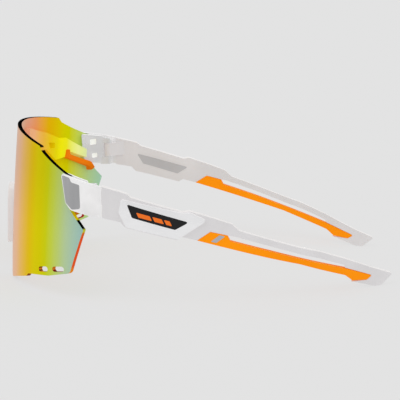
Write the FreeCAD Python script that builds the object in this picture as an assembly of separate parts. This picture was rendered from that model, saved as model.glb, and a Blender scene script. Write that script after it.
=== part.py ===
import FreeCAD, Part
import math
import os
from FreeCAD import Vector

# Wraparound sport sunglasses. Millimetres. x points to the wearer's left, y to the back, z up.
# The parts are drawn with y = 0 at the front of the lens and z = 0 on the table, and are moved
# by FRONT_TO_MIDDLE at the end, so that the origin is under the middle of the whole object.

# ---- driving dimensions -------------------------------------------------------------------------
LENS_RADIUS = 84.0          # level radius of the lens's outer face
LENS_PROFILE_RADIUS = 1500.0    # gentle upright curve of the lens
LENS_THICKNESS = 1.8
LENS_LEAN = 4.3             # degrees that the lens leans forward towards its bottom
LENS_PIVOT_Z = 40.0         # height at which the lens's front is at y = 0
FIT = 0.08                  # gap between the lens and the pieces that hold it
BROW_DEPTH = 2.5            # front to back size of the brow bar
RAIL_FRONT = 1.7            # the orange brow rails start that far behind the lens
RAIL_BACK = 3.1
WALL = 1.5                  # inner wall of the end piece, behind the lens tab
COVER_WALL = 1.6            # thickness of the end piece's cover behind the lens tab
COVER_STEP_Y = 34.2         # where the cover's inner face leaves the lens
WALL_FRONT_Y = 26.4         # front edge of that inner wall
BACK_WALL_Y = 36.3          # back of the wall behind the lens tab
JOINT_Y = 42.5              # plane where the end piece meets the temple
JOINT_GAP = 0.15            # half of the gap at that plane
HINGE_X = 66.3
HINGE_Y = 38.8
KNUCKLE_RADIUS = 1.8
KNUCKLE_LOW = 41.0          # height of the temple's knuckle, bottom and top
KNUCKLE_HIGH = 47.4
LEAF_GAP = 0.1              # gap above and below the knuckle
SCREW_RADIUS = 0.7
SCREW_HEAD_RADIUS = 1.3
SCREW_HEAD_HEIGHT = 2.2
SCREW_HEAD_TOP = 39.6
NUT_RADIUS = 1.2
NUT_LOW = 47.9
NUT_HEIGHT = 1.4
RUNNING_FIT = 0.05
NOTCH_TOP = 37.6            # top of the nose notch
NOTCH_RADIUS = 8.0
NOTCH_SPLAY = 15.0          # degrees that the notch's flanks lean out
CLIP_FRONT = -2.9           # how far the nose clip stands in front of the lens
CLIP_BACK = 8.0
CLIP_LOW = 14.6             # height of the clip's lower ends
CLIP_OVERLAP = 1.9          # how far the clip's rim covers the lens
CLIP_INSIDE = 1.2           # how far the clip reaches into the notch
WIRE_OFFSET = 0.6           # the nose wire's line, outside the notch's line
WIRE_Y = 4.6
WIRE_LOW = 17.0
WIRE_RADIUS = 0.45
PAD_SIZE = (1.9, 7.5, 12.5)     # half thickness, half depth and half height of a nose pad
PAD_PLACE = (12.9, 11.8, 22.5)
PAD_SPLAY = 24.0            # degrees that the pads open towards the back
PAD_TILT = 15.0             # degrees that the pads open towards the bottom
BEZEL_RISE = 0.8            # how far the bezel stands proud of the temple
BEZEL_SINK = 0.6            # how deep the bezel and the badge sit in the temple
BADGE_RISE = 0.3
EMBLEM_DEPTH = 0.3
EMBLEM_RISE = 0.05
PLATE_DEPTH = 0.7           # pocket of the dark plate on the temple's inside
PLATE_SINK = 0.15           # how far the plate lies below the temple's inner face
GRIP_RISE = 0.15            # how far the soft grip stands proud on both faces
WINDOW_DEPTH = 0.8
FRONT_TO_MIDDLE = 81.72     # from the lens's front to the middle of the object

BACK_OF_LENS = LENS_RADIUS - LENS_THICKNESS
FAR = 60.0                  # longer than any cut that it is used for

# Outer face of the left end piece and temple seen from above: y, x, thickness of the temple there.
PLAN = [
    (20.0, 57.6, 4.4),
    (25.3, 62.7, 4.4),
    (31.0, 67.2, 4.4),
    (36.5, 70.4, 4.4),
    (42.5, 72.3, 4.4),
    (50.0, 73.6, 4.2),
    (58.0, 74.2, 4.0),
    (73.0, 73.6, 4.0),
    (82.0, 72.7, 3.8),
    (96.0, 70.7, 3.4),
    (110.0, 67.6, 3.2),
    (120.0, 64.4, 3.2),
    (130.0, 60.3, 3.2),
    (140.0, 55.0, 3.2),
    (148.0, 50.1, 3.2),
    (157.5, 44.4, 3.2),
    (166.0, 40.2, 3.2),
    (170.0, 38.4, 3.2),
]

# The temple's link between its knuckle and the arm, seen from above: x, y.
LINK = [(64.35, 38.2), (68.25, 38.2), (70.3, 42.6), (71.2, 46.0), (69.0, 46.0)]

# Outlines seen from the side: y, z and, where there is a third number, the radius of that corner.
END_PIECE = [(25.3, 53.5, 0.8), (45.0, 48.9), (45.0, 36.1), (37.4, 37.0), (29.2, 38.7, 1.5), (27.0, 41.5, 2.0)]
TEMPLE = [
    (JOINT_Y + JOINT_GAP, 49.5), (50.1, 47.5), (53.3, 46.5, 0.8), (54.6, 45.1, 0.8), (75.8, 38.7, 3.0),
    (78.7, 39.1, 2.0), (89.2, 35.6), (96.3, 33.0, 2.0), (99.5, 30.0, 3.0), (112.2, 25.55), (125.5, 20.95),
    (133.8, 18.45), (144.7, 14.1), (157.4, 8.3), (166.2, 4.9, 0.5), (166.4, 4.2, 0.4), (161.6, 0.0, 0.6),
    (158.8, 0.0), (148.2, 3.5), (154.95, 3.2, 0.8), (157.2, 4.7, 0.3), (156.7, 5.35, 0.5), (145.0, 10.1),
    (144.4, 11.4, 0.5), (133.8, 15.6), (125.5, 18.2), (112.2, 22.9), (97.3, 27.8, 1.0), (94.6, 28.4),
    (87.3, 30.25, 0.6), (81.8, 26.8), (75.6, 28.4, 1.0), (73.4, 27.2, 1.0), (52.1, 32.7, 1.0),
    (50.2, 34.9, 1.0), (JOINT_Y + JOINT_GAP, 36.45),
]
GRIP = [
    (81.9, 26.75), (87.3, 30.15, 0.6), (94.3, 28.35, 0.5), (95.6, 26.2, 0.3), (112.2, 20.95), (125.0, 16.7),
    (133.8, 13.75), (145.0, 9.95, 0.3), (156.55, 5.25, 0.4), (157.0, 4.75, 0.2), (154.9, 3.35, 0.7),
    (148.4, 4.0, 0.6), (145.1, 6.8, 1.5), (133.8, 10.85), (125.0, 14.1), (112.2, 17.75),
]
GRIP_WINDOW = [(87.4, 26.1, 0.2), (91.1, 28.7, 0.2), (93.4, 28.05, 0.2), (89.7, 25.5, 0.2)]
BEZEL = [
    (49.4, 39.2, 0.8), (50.6, 44.7, 1.0), (75.9, 38.5, 3.0), (78.9, 38.7, 1.5), (86.1, 35.1, 1.0),
    (73.8, 27.5, 1.0), (52.3, 33.0, 1.0),
]
BADGE = [(52.9, 42.5, 0.4), (78.5, 34.5, 0.5), (72.7, 31.5, 0.4), (55.0, 36.8, 0.6)]
INNER_PLATE = [(52.8, 41.4, 0.4), (78.0, 34.4, 0.4), (72.8, 31.2, 0.4), (55.9, 36.3, 0.6)]
EMBLEM_BARS = [(57.2, 5.6), (63.8, 3.9), (68.6, 2.4)]     # where each bar starts along y, and its length
EMBLEM_MIDDLE_Z = 38.0
EMBLEM_FALL = 0.28          # slope of the bars
EMBLEM_HEIGHT = 2.1
EMBLEM_SLANT = 0.5

TAB_LOW = 40.2              # the lens tab that enters the end piece
TAB_HIGH = 49.8
TAB_END = 66.8
TAB_SHOULDER = 63.4         # where the lens's top edge steps down to the tab
TAB_FOOT = 66.0             # the end piece's floor starts beside the lens's lower part

# Outlines seen from the front, left half: x, z and corner radius.
LENS_CROWN = (0.0, 71.4, 246.0)     # apex above the arched top edge
LENS_SIDE = [
    (45.8, 62.9, 0.8), (47.7, 60.6, 4.0), (61.0, 53.1, 1.0), (62.6, 52.6, 0.4), (63.2, TAB_HIGH, 0.6),
    (TAB_END, TAB_HIGH, 1.0), (TAB_END, TAB_LOW, 1.0), (63.0, TAB_LOW, 0.3), (63.3, 38.7, 0.3), (68.4, 30.7, 1.0),
    (64.3, 11.3, 2.0), (54.8, 8.3), (41.0, 6.3, 0.8), (39.3, 4.8, 1.0),
]
LOBE_RADIUS = 2.5           # rounded corner beside the nose notch
LOBE_LOW = -0.47            # height of that corner before it is rounded
VENTS = [(51.7, 10.5, 5.4), (59.4, 12.1, 5.3)]      # centre x, z and length
VENT_HEIGHT = 2.2
VENT_TILT = 12.0            # degrees
BRIDGE_TOP = 57.0
BRIDGE_LOW = 43.0
BROW_BAR = [
    (8.0, 62.9, 0.3), (12.6, 62.1, 2.0), (31.8, 57.4, 3.0), (43.4, 52.8, 0.6), (45.8, 53.1, 0.5),
    (49.9, 50.5, 0.8), (56.5, 46.2), (63.0, 42.4), (63.0, 39.4), (56.7, 42.0), (49.3, 45.7, 0.5),
    (46.6, 43.7, 0.6), (39.9, 43.2, 1.0), (32.3, 49.2, 1.5), (27.0, 50.2, 3.0), (15.0, BRIDGE_LOW, 3.0),
]
BLOCK_WINDOW = [(33.5, 52.6, 0.4), (38.6, 51.6, 0.4), (38.8, 49.0, 0.4), (35.0, 49.6, 0.4)]
BLOCK_WINDOW_DEPTH = 1.0
BROW_RAIL = [
    (46.5, 47.2, 0.4), (47.9, 46.9, 0.4), (48.2, 44.6, 0.5), (53.3, 42.1, 3.0), (58.0, 39.8, 0.6),
    (58.9, 39.1, 0.3), (60.3, 36.3, 0.4), (58.8, 34.8, 0.4), (58.3, 37.1, 0.5), (52.9, 40.2, 3.0), (45.9, 43.5, 0.4),
]

# Windows in the wall behind the lens tab: low y and z, high y and z, high x.
TAB_WINDOWS = [(30.4, 47.3, 33.3, 50.0, 64.4), (31.2, 40.8, 33.7, 43.0, 64.9)]


# ---- helpers ------------------------------------------------------------------------------------
def place(point, plane):
    """A flat point (a, b) set on the side plane (y, z), the front plane (x, z) or the plan (x, y)."""
    a, b = point
    spots = {"side": Vector(0, a, b), "front": Vector(a, 0, b), "plan": Vector(a, b, 0)}
    return spots[plane]


def rounded_wire(points, plane):
    """A closed outline whose corners have the radius that the point gives, or are sharp."""
    count = len(points)
    ends = []
    edges = []
    for i, point in enumerate(points):
        here = place(point[:2], plane)
        before = (place(points[i - 1][:2], plane) - here).normalize()
        after = (place(points[(i + 1) % count][:2], plane) - here).normalize()
        if len(point) == 2:
            ends.append((here, here))
            continue
        half = before.getAngle(after) / 2
        reach = point[2] / math.tan(half)
        middle = (before + after).normalize()
        arc_middle = here + middle * (point[2] / math.sin(half) - point[2])
        start = here + before * reach
        end = here + after * reach
        edges.append(Part.Arc(start, arc_middle, end).toShape())
        ends.append((start, end))
    for i in range(count):
        start = ends[i][1]
        end = ends[(i + 1) % count][0]
        if (end - start).Length > 1e-4:
            edges.append(Part.makeLine(start, end))
    return Part.Wire(Part.sortEdges(edges)[0])


def side_prism(points, low_x, high_x):
    """An outline seen from the side, as thick as from low_x to high_x."""
    face = Part.Face(rounded_wire(points, "side"))
    face.translate(Vector(low_x, 0, 0))
    return face.extrude(Vector(high_x - low_x, 0, 0))


def front_prism(points, low_y=-20.0, high_y=FAR):
    """An outline seen from the front, as deep as from low_y to high_y."""
    face = Part.Face(rounded_wire(points, "front"))
    face.translate(Vector(0, low_y, 0))
    return face.extrude(Vector(0, high_y - low_y, 0))


def box(low, high):
    """A box from its lowest to its highest corner."""
    size = Vector(*high) - Vector(*low)
    return Part.makeBox(size.x, size.y, size.z, Vector(*low))


def cylinder(radius, x, y, low_z, high_z):
    """An upright cylinder."""
    return Part.makeCylinder(radius, high_z - low_z, Vector(x, y, low_z))


def mirrored(shape):
    """The same piece for the wearer's right side."""
    return shape.mirror(Vector(0, 0, 0), Vector(1, 0, 0))


def lens_shell(inner_radius, outer_radius):
    """The curved sheet between two faces that share the lens's leaning axis."""
    low, high = -60.0, 30.0

    def face_line(radius):
        low_point = Vector(radius - low ** 2 / (2 * LENS_PROFILE_RADIUS), 0, low)
        high_point = Vector(radius - high ** 2 / (2 * LENS_PROFILE_RADIUS), 0, high)
        return Part.Arc(low_point, Vector(radius, 0, 0), high_point).toShape()

    outer = face_line(outer_radius)
    inner = face_line(inner_radius)
    low_edge = Part.makeLine(outer.Vertexes[0].Point, inner.Vertexes[0].Point)
    high_edge = Part.makeLine(outer.Vertexes[-1].Point, inner.Vertexes[-1].Point)
    face = Part.Face(Part.Wire([outer, high_edge, inner, low_edge]))
    shell = face.revolve(Vector(0, 0, 0), Vector(0, 0, 1), -180)
    shell.rotate(Vector(0, 0, 0), Vector(1, 0, 0), -LENS_LEAN)
    shell.translate(Vector(0, LENS_RADIUS, LENS_PIVOT_Z))
    return shell


def plan_curve(share, inset):
    """A line of the plan: share 0 is the temple's outer face and 1 its inner face, moved in by inset."""
    points = [Vector(x - share * thickness - inset, y, 0) for y, x, thickness in PLAN]
    curve = Part.BSplineCurve()
    curve.interpolate(points)
    return curve.toShape()


def plan_slab(outside, inside):
    """The upright curved sheet between two lines of the plan, each a (share, inset) pair."""
    outer = plan_curve(*outside)
    inner = plan_curve(*inside)
    front = Part.makeLine(outer.Vertexes[0].Point, inner.Vertexes[0].Point)
    back = Part.makeLine(outer.Vertexes[-1].Point, inner.Vertexes[-1].Point)
    face = Part.Face(Part.Wire([outer, back, inner, front]))
    face.translate(Vector(0, 0, -5))
    return face.extrude(Vector(0, 0, 80))


def notch_corners(offset, low_z, foot_radius):
    """The left half of the nose notch, or of the same outline moved out by an offset."""
    radius = NOTCH_RADIUS + offset
    splay = math.radians(NOTCH_SPLAY)
    centre_z = NOTCH_TOP - NOTCH_RADIUS
    top = centre_z + radius
    top_x = radius * math.tan((math.pi / 2 - splay) / 2)
    foot_x = top_x + (top - low_z) * math.tan(splay)
    return [(foot_x, low_z, foot_radius), (top_x, top, radius)]


def both_halves(left_half):
    """A front outline from its left half, which ends at the middle."""
    right_half = [(-point[0],) + tuple(point[1:]) for point in reversed(left_half)]
    return list(left_half) + right_half


def notch_prism(offset, low_z, low_y, high_y):
    """The notch's outline as a solid, closed at low_z."""
    corners = both_halves(notch_corners(offset, low_z, 0.05))
    return front_prism(corners, low_y, high_y)


# ---- front of the glasses -----------------------------------------------------------------------
def make_lens():
    """The mirrored shield with its tabs, vents and nose notch."""
    half = LENS_SIDE + notch_corners(0, LOBE_LOW, LOBE_RADIUS)
    outline = both_halves(half) + [LENS_CROWN]
    lens = lens_shell(BACK_OF_LENS, LENS_RADIUS).common(front_prism(outline))
    for x, z, length in VENTS:
        slot = vent_prism(x, z, length)
        lens = lens.cut(slot).cut(mirrored(slot))
    return lens


def vent_prism(x, z, length):
    """One slot with round ends, tilted like the lens's lower edge."""
    radius = VENT_HEIGHT / 2
    half = length / 2
    corners = [(-half, -radius, radius), (half, -radius, radius), (half, radius, radius), (-half, radius, radius)]
    slot = front_prism(corners)
    slot.rotate(Vector(0, 0, 0), Vector(0, 1, 0), -VENT_TILT)
    slot.translate(Vector(x, 0, z))
    return slot


def lens_pocket():
    """The slot in the left end piece that the lens tab slides into."""
    sheet = lens_shell(BACK_OF_LENS - FIT, LENS_RADIUS + FIT)
    tab = box((50, 0, TAB_LOW - FIT), (TAB_END + FIT, FAR, TAB_HIGH + FIT))
    shoulder = box((50, 0, TAB_HIGH - 1), (TAB_SHOULDER + FIT, FAR, 60))
    foot = box((50, 0, 30), (TAB_FOOT, FAR, TAB_LOW + 1))
    return sheet.common(tab.fuse([shoulder, foot]))


def end_piece_block():
    """The left end piece as one block, before the slot and the hinge are cut."""
    block = side_prism(END_PIECE, 50, 80).common(plan_slab((0, 0), (0, 14)))
    return block.cut(lens_shell(20, BACK_OF_LENS - FIT - WALL))


def make_endpiece_cover(block):
    """The clear outer plate over the lens tab, up to the joint with the temple."""
    front = block.common(box((50, 0, 0), (90, COVER_STEP_Y, 90)))
    front = front.cut(lens_shell(20, LENS_RADIUS + FIT))
    back = block.common(plan_slab((0, 0), (0, COVER_WALL)))
    back = back.common(box((50, COVER_STEP_Y, 0), (90, JOINT_Y - JOINT_GAP, 90)))
    return front.fuse(back).removeSplitter()


def fork_leaf(low_z, high_z):
    """One leaf of the fork that holds the hinge screw."""
    tongue = box((HINGE_X - KNUCKLE_RADIUS, BACK_WALL_Y - 1.3, low_z), (HINGE_X + KNUCKLE_RADIUS, HINGE_Y, high_z))
    eye = cylinder(KNUCKLE_RADIUS, HINGE_X, HINGE_Y, low_z, high_z)
    return tongue.fuse(eye).common(side_prism(END_PIECE, 50, 80))


def make_end_frame(block, cover):
    """The left end of the front frame: slot wall, roof and floor, and hinge fork."""
    frame = block.common(box((50, 0, 0), (90, BACK_WALL_Y, 90)))
    frame = frame.cut(lens_shell(20, LENS_RADIUS).common(box((50, 0, 0), (90, WALL_FRONT_Y, 90))))
    for low_y, low_z, high_y, high_z, high_x in TAB_WINDOWS:
        frame = frame.cut(box((50, low_y, low_z), (high_x, high_y, high_z)))
    frame = frame.fuse([fork_leaf(30, KNUCKLE_LOW - LEAF_GAP), fork_leaf(KNUCKLE_HIGH + LEAF_GAP, 60)])
    return frame.cut(cover).cut(lens_pocket()).cut(screw_hole())


def screw_hole():
    """The stepped hole in the fork for the screw, its head and its nut."""
    shank = cylinder(SCREW_RADIUS, HINGE_X, HINGE_Y, 30, 60)
    head = cylinder(SCREW_HEAD_RADIUS + 0.05, HINGE_X, HINGE_Y, 30, SCREW_HEAD_TOP)
    nut = cylinder(NUT_RADIUS, HINGE_X, HINGE_Y, NUT_LOW, NUT_LOW + NUT_HEIGHT)
    return shank.fuse([head, nut])


def make_hinge_screw():
    """The fold axis: head at the bottom with a cross slot, shank up into the nut."""
    head_low = SCREW_HEAD_TOP - SCREW_HEAD_HEIGHT
    head = cylinder(SCREW_HEAD_RADIUS, HINGE_X, HINGE_Y, head_low, SCREW_HEAD_TOP)
    head = head.makeChamfer(0.2, [head.Edges[2]])
    shank = cylinder(SCREW_RADIUS, HINGE_X, HINGE_Y, SCREW_HEAD_TOP, NUT_LOW + NUT_HEIGHT)
    half = 0.15
    slot_x = box((HINGE_X - 0.8, HINGE_Y - half, head_low), (HINGE_X + 0.8, HINGE_Y + half, head_low + 0.5))
    slot_y = box((HINGE_X - half, HINGE_Y - 0.8, head_low), (HINGE_X + half, HINGE_Y + 0.8, head_low + 0.5))
    return head.fuse(shank).removeSplitter().cut(slot_x.fuse(slot_y))


def make_hinge_nut():
    """The threaded insert in the upper leaf."""
    ring = cylinder(NUT_RADIUS, HINGE_X, HINGE_Y, NUT_LOW, NUT_LOW + NUT_HEIGHT)
    return ring.cut(cylinder(SCREW_RADIUS, HINGE_X, HINGE_Y, 30, 60))


def make_front_frame(end_frame, rail):
    """Brow bar, side blocks and nose bridge behind the lens, with an end frame at each side."""
    half = [(BROW_BAR[0][0], BRIDGE_TOP, 0.3)] + BROW_BAR
    sheet = lens_shell(BACK_OF_LENS - FIT - BROW_DEPTH, BACK_OF_LENS - FIT)
    bar = sheet.common(front_prism(both_halves(half)))
    bar = bar.cut(lens_shell(20, BACK_OF_LENS - FIT - WALL).common(box((-90, WALL_FRONT_Y, 0), (90, FAR, 90))))
    recess = front_prism(BLOCK_WINDOW)
    recess = recess.common(lens_shell(20, BACK_OF_LENS - FIT - BROW_DEPTH + BLOCK_WINDOW_DEPTH))
    bar = bar.cut([recess, mirrored(recess), rail, mirrored(rail)])
    ends = [end_frame, mirrored(end_frame)]
    return bar.fuse(ends).removeSplitter()


def make_brow_rail():
    """The orange lower rail that hooks under the brow bar's block."""
    sheet = lens_shell(BACK_OF_LENS - FIT - RAIL_BACK, BACK_OF_LENS - FIT - RAIL_FRONT)
    return sheet.common(front_prism(BROW_RAIL))


# ---- nose piece ---------------------------------------------------------------------------------
def make_nose_clip():
    """The clear rim that hooks over the lens's nose notch."""
    outer = notch_prism(CLIP_OVERLAP, CLIP_LOW, CLIP_FRONT, CLIP_BACK)
    inner = notch_prism(-CLIP_INSIDE, CLIP_LOW - 10, CLIP_FRONT - 1, CLIP_BACK + 1)
    inner.translate(Vector(0, 0, -0.01))
    rim = outer.cut(inner)
    groove = lens_shell(BACK_OF_LENS - FIT, LENS_RADIUS + FIT).cut(notch_prism(-FIT, -10, -20, FAR))
    return rim.cut(groove)


def make_nose_wire():
    """The bendable core that runs round the notch from pad to pad."""
    foot, top = notch_corners(WIRE_OFFSET, WIRE_LOW, 0)
    radius = top[2]
    splay = math.radians(NOTCH_SPLAY)
    centre = Vector(0, WIRE_Y, NOTCH_TOP - NOTCH_RADIUS)
    tangent = centre + Vector(radius * math.cos(splay), 0, radius * math.sin(splay))
    start = Vector(foot[0], WIRE_Y, foot[1])
    arc = Part.Arc(tangent, centre + Vector(0, 0, radius), Vector(-tangent.x, WIRE_Y, tangent.z)).toShape()
    other = Part.makeLine(Vector(-tangent.x, WIRE_Y, tangent.z), Vector(-start.x, WIRE_Y, start.z))
    path = Part.Wire([Part.makeLine(start, tangent), arc, other])
    section = Part.Wire(Part.makeCircle(WIRE_RADIUS, start, tangent - start))
    return path.makePipeShell([section], True, False)


def make_nose_pad(clip, wire):
    """One soft oval pad, splayed like the side of a nose."""
    ball = Part.makeSphere(1.0)
    stretch = FreeCAD.Matrix()
    stretch.scale(Vector(*PAD_SIZE))
    pad = ball.transformGeometry(stretch)
    pad.rotate(Vector(0, 0, 0), Vector(0, 1, 0), -PAD_TILT)
    pad.rotate(Vector(0, 0, 0), Vector(0, 0, 1), -PAD_SPLAY)
    pad.translate(Vector(*PAD_PLACE))
    return pad.cut(clip).cut(wire)


# ---- temples ------------------------------------------------------------------------------------
def make_temple():
    """The clear arm with its hinge knuckle, its open slot and its tip."""
    arm = side_prism(TEMPLE, 30, 90).common(plan_slab((0, 0), (1, 0)))
    link = Part.Face(rounded_wire(LINK, "plan"))
    link.translate(Vector(0, 0, KNUCKLE_LOW))
    link = link.extrude(Vector(0, 0, KNUCKLE_HIGH - KNUCKLE_LOW))
    eye = cylinder(KNUCKLE_RADIUS, HINGE_X, HINGE_Y, KNUCKLE_LOW, KNUCKLE_HIGH)
    arm = arm.fuse([link, eye]).removeSplitter()
    arm = arm.cut(cylinder(SCREW_RADIUS + RUNNING_FIT, HINGE_X, HINGE_Y, 30, 60))
    arm = arm.cut(side_prism(BEZEL, 60, 90).common(plan_slab((0, -1), (0, BEZEL_SINK))))
    return arm.cut(side_prism(INNER_PLATE, 60, 90).common(plan_slab((1, -PLATE_DEPTH), (1, 1))))


def make_bezel():
    """The raised clear frame round the badge, with a wide sloping face."""
    body = side_prism(BEZEL, 60, 90).common(plan_slab((0, -BEZEL_RISE), (0, BEZEL_SINK)))
    return body.cut(side_prism(BADGE, 60, 90))


def make_badge(emblem):
    """The black plate inside the bezel."""
    plate = side_prism(BADGE, 60, 90).common(plan_slab((0, -BADGE_RISE), (0, BEZEL_SINK)))
    return plate.cut(emblem)


def make_emblem():
    """Three plain slanted bars let into the badge."""
    bars = []
    for start, length in EMBLEM_BARS:
        middle_y = start + length / 2
        middle_z = EMBLEM_MIDDLE_Z - EMBLEM_FALL * (middle_y - EMBLEM_BARS[0][0])
        half_z = EMBLEM_HEIGHT / 2
        drop = EMBLEM_FALL * length / 2
        corners = [
            (middle_y - length / 2 - EMBLEM_SLANT, middle_z + drop + half_z),
            (middle_y + length / 2 - EMBLEM_SLANT, middle_z - drop + half_z),
            (middle_y + length / 2 + EMBLEM_SLANT, middle_z - drop - half_z),
            (middle_y - length / 2 + EMBLEM_SLANT, middle_z + drop - half_z),
        ]
        bars.append(side_prism(corners, 60, 90))
    sheet = plan_slab((0, -BADGE_RISE - EMBLEM_RISE), (0, EMBLEM_DEPTH - BADGE_RISE))
    return Part.makeCompound([bar.common(sheet) for bar in bars])


def make_inner_plate():
    """The dark plate let into the temple's inner face."""
    return side_prism(INNER_PLATE, 60, 90).common(plan_slab((1, -PLATE_DEPTH), (1, -PLATE_SINK)))


def make_temple_grip():
    """The soft orange block, rail and foot of one temple, with a pocket for its window."""
    grip = side_prism(GRIP, 30, 90).common(plan_slab((0, -GRIP_RISE), (1, GRIP_RISE)))
    return grip.cut(side_prism(GRIP_WINDOW, 60, 90).common(plan_slab((0, -1), (0, WINDOW_DEPTH))))


def make_grip_window():
    """The small slanted grey insert on the outside of the grip."""
    return side_prism(GRIP_WINDOW, 60, 90).common(plan_slab((0, -GRIP_RISE), (0, WINDOW_DEPTH)))


# ---- assembly -----------------------------------------------------------------------------------
def make_all():
    """Every node by name, in drawing coordinates."""
    block = end_piece_block()
    cover = make_endpiece_cover(block)
    clip = make_nose_clip()
    wire = make_nose_wire()
    clip = clip.cut(wire)
    emblem = make_emblem()
    rail = make_brow_rail()
    nodes = {
        "lens": make_lens(),
        "front_frame": make_front_frame(make_end_frame(block, cover), rail),
        "nose_clip": clip,
        "nose_wire": wire,
    }
    sided = {
        "endpiece_cover": cover,
        "brow_rail": rail,
        "nose_pad": make_nose_pad(clip, wire),
        "hinge_screw": make_hinge_screw(),
        "hinge_nut": make_hinge_nut(),
        "temple": make_temple(),
        "bezel": make_bezel(),
        "badge": make_badge(emblem),
        "emblem": emblem,
        "inner_plate": make_inner_plate(),
        "temple_grip": make_temple_grip(),
        "grip_window": make_grip_window(),
    }
    for name, shape in sided.items():
        nodes[name + "_left"] = shape
        nodes[name + "_right"] = mirrored(shape)
    return nodes


def main():
    """Builds the nodes, centres them and writes one file for each."""
    os.makedirs("parts", exist_ok=True)
    for name, shape in make_all().items():
        shape.translate(Vector(0, -FRONT_TO_MIDDLE, 0))
        shape.exportStep("parts/" + name + ".step")
        bounds = shape.BoundBox
        print("%-22s solids %d volume %8.1f valid %s" % (name, len(shape.Solids), shape.Volume, shape.isValid()),
              "y %.2f %.2f z %.2f %.2f x %.2f" % (bounds.YMin, bounds.YMax, bounds.ZMin, bounds.ZMax, bounds.XMax))


main()
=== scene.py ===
import bisect
import math

import bmesh
import bpy
import numpy as np
from mathutils import Matrix, Vector


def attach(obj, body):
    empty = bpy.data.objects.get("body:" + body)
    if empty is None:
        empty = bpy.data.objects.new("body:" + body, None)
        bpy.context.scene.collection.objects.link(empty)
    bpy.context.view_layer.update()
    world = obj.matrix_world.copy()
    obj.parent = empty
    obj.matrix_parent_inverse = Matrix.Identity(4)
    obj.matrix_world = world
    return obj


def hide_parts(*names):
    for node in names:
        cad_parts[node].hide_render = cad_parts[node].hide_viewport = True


# Looks of the wraparound sport sunglasses. The outlines are in millimetres, with y = 0 at the front
# of the lens as in the part's own drawing, and every piece is wrapped on the lens's or the temple's
# curve before it goes into the frame's metres.

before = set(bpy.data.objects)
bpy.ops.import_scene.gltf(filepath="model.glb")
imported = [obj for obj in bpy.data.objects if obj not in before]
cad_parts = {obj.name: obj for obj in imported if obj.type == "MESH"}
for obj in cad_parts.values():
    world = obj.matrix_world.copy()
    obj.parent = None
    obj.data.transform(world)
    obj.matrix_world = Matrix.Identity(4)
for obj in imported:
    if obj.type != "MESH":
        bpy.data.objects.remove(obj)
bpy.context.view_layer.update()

# ---- sizes ---------------------------------------------------------------------------------------
MM = 0.001
FRONT_TO_MIDDLE = 81.72     # from the lens's front to the frame's origin
LENS_RADIUS = 84.0
LENS_PROFILE_RADIUS = 1500.0
LENS_THICKNESS = 1.8
LENS_LEAN = math.radians(4.3)
LENS_PIVOT_Z = 40.0
FIT = 0.08                  # gap between the lens and the pieces that hold it
BROW_DEPTH = 2.5
RAIL_FRONT = 1.7            # the orange brow rails start that far behind the lens
RAIL_BACK = 3.1
WALL = 1.5
COVER_WALL = 1.6
JOINT_Y = 42.65             # front end of the temple
ARM_THICKNESS = 4.0         # nominal thickness that the arms are drawn with before they are wrapped
GRIP_PROUD = 0.15           # how far the grips stand proud of the arms on each side
SLICE = 2.0                 # spacing of the cuts that let a flat plate follow a curve
HINGE_X = 66.3
HINGE_Y = 38.8
KNUCKLE_LOW = 41.0
KNUCKLE_HIGH = 47.4
BORE_RADIUS = 0.75
HINGE_BLOCK = (37.7, 12.8)  # lowest height and thickness of the block behind the lens tab
LOW_LEAF = (37.1, 3.8)      # and of the fork's two leaves
HIGH_LEAF = (47.5, 2.3)
NOTCH_TOP = 37.6
NOTCH_RADIUS = 8.0
NOTCH_SPLAY = math.radians(15.0)
CLIP_FRONT = -2.9
CLIP_BACK = 8.0
CLIP_LOW = 14.6
CLIP_OVERLAP = 1.9
CLIP_INSIDE = 1.2
PAD_PLACE = (12.9, 11.8, 22.5)
PAD_HALF = (1.75, 7.2, 12.2)    # half thickness, half depth and half height
PAD_SPLAY = math.radians(24.0)
PAD_TILT = math.radians(15.0)
PAD_RINGS = 22
PAD_CORNERS = 32
PAD_ENDS = (2.4, 1 / 2.1, 1.2)  # powers that shape the pad's ends
PAD_OVAL = (0.9, 1.15)          # powers of its cross-section, along and across the pad
PAD_HOLLOW = 0.35
PAD_LIP = 0.064

# Outer face of the left temple seen from above: y, x and the temple's thickness there.
PLAN = [
    (20.0, 57.6, 4.4), (25.3, 62.7, 4.4), (31.0, 67.2, 4.4), (36.5, 70.4, 4.4), (42.5, 72.3, 4.4),
    (50.0, 73.6, 4.2), (58.0, 74.2, 4.0), (73.0, 73.6, 4.0), (82.0, 72.7, 3.8), (96.0, 70.7, 3.4),
    (110.0, 67.6, 3.2), (120.0, 64.4, 3.2), (130.0, 60.3, 3.2), (140.0, 55.0, 3.2),
    (148.0, 50.1, 3.2), (157.5, 44.4, 3.2), (166.0, 40.2, 3.2), (170.0, 38.4, 3.2),
]

# Side outlines: y, z and the corner's radius.
TEMPLE = [
    (JOINT_Y, 49.5), (50.1, 47.5), (53.3, 46.5, 0.8), (54.6, 45.1, 0.8), (75.8, 38.7, 3.0),
    (78.7, 39.1, 2.0), (89.2, 35.6), (96.3, 33.0, 2.0), (99.5, 30.0, 3.0), (112.2, 25.55), (125.5, 20.95),
    (133.8, 18.45), (144.7, 14.1), (157.4, 8.3), (166.2, 4.9, 0.5), (166.4, 4.2, 0.4), (161.6, 0.0, 0.6),
    (158.8, 0.0), (148.2, 3.5), (154.95, 3.2, 0.8), (157.2, 4.7, 0.3), (156.7, 5.35, 0.5), (145.0, 10.1),
    (144.4, 11.4, 0.5), (133.8, 15.6), (125.5, 18.2), (112.2, 22.9), (97.3, 27.8, 1.0), (94.6, 28.4),
    (87.3, 30.25, 0.6), (81.8, 26.8), (75.6, 28.4, 1.0), (73.4, 27.2, 1.0), (52.1, 32.7, 1.0),
    (50.2, 34.9, 1.0), (JOINT_Y, 36.45),
]
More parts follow.
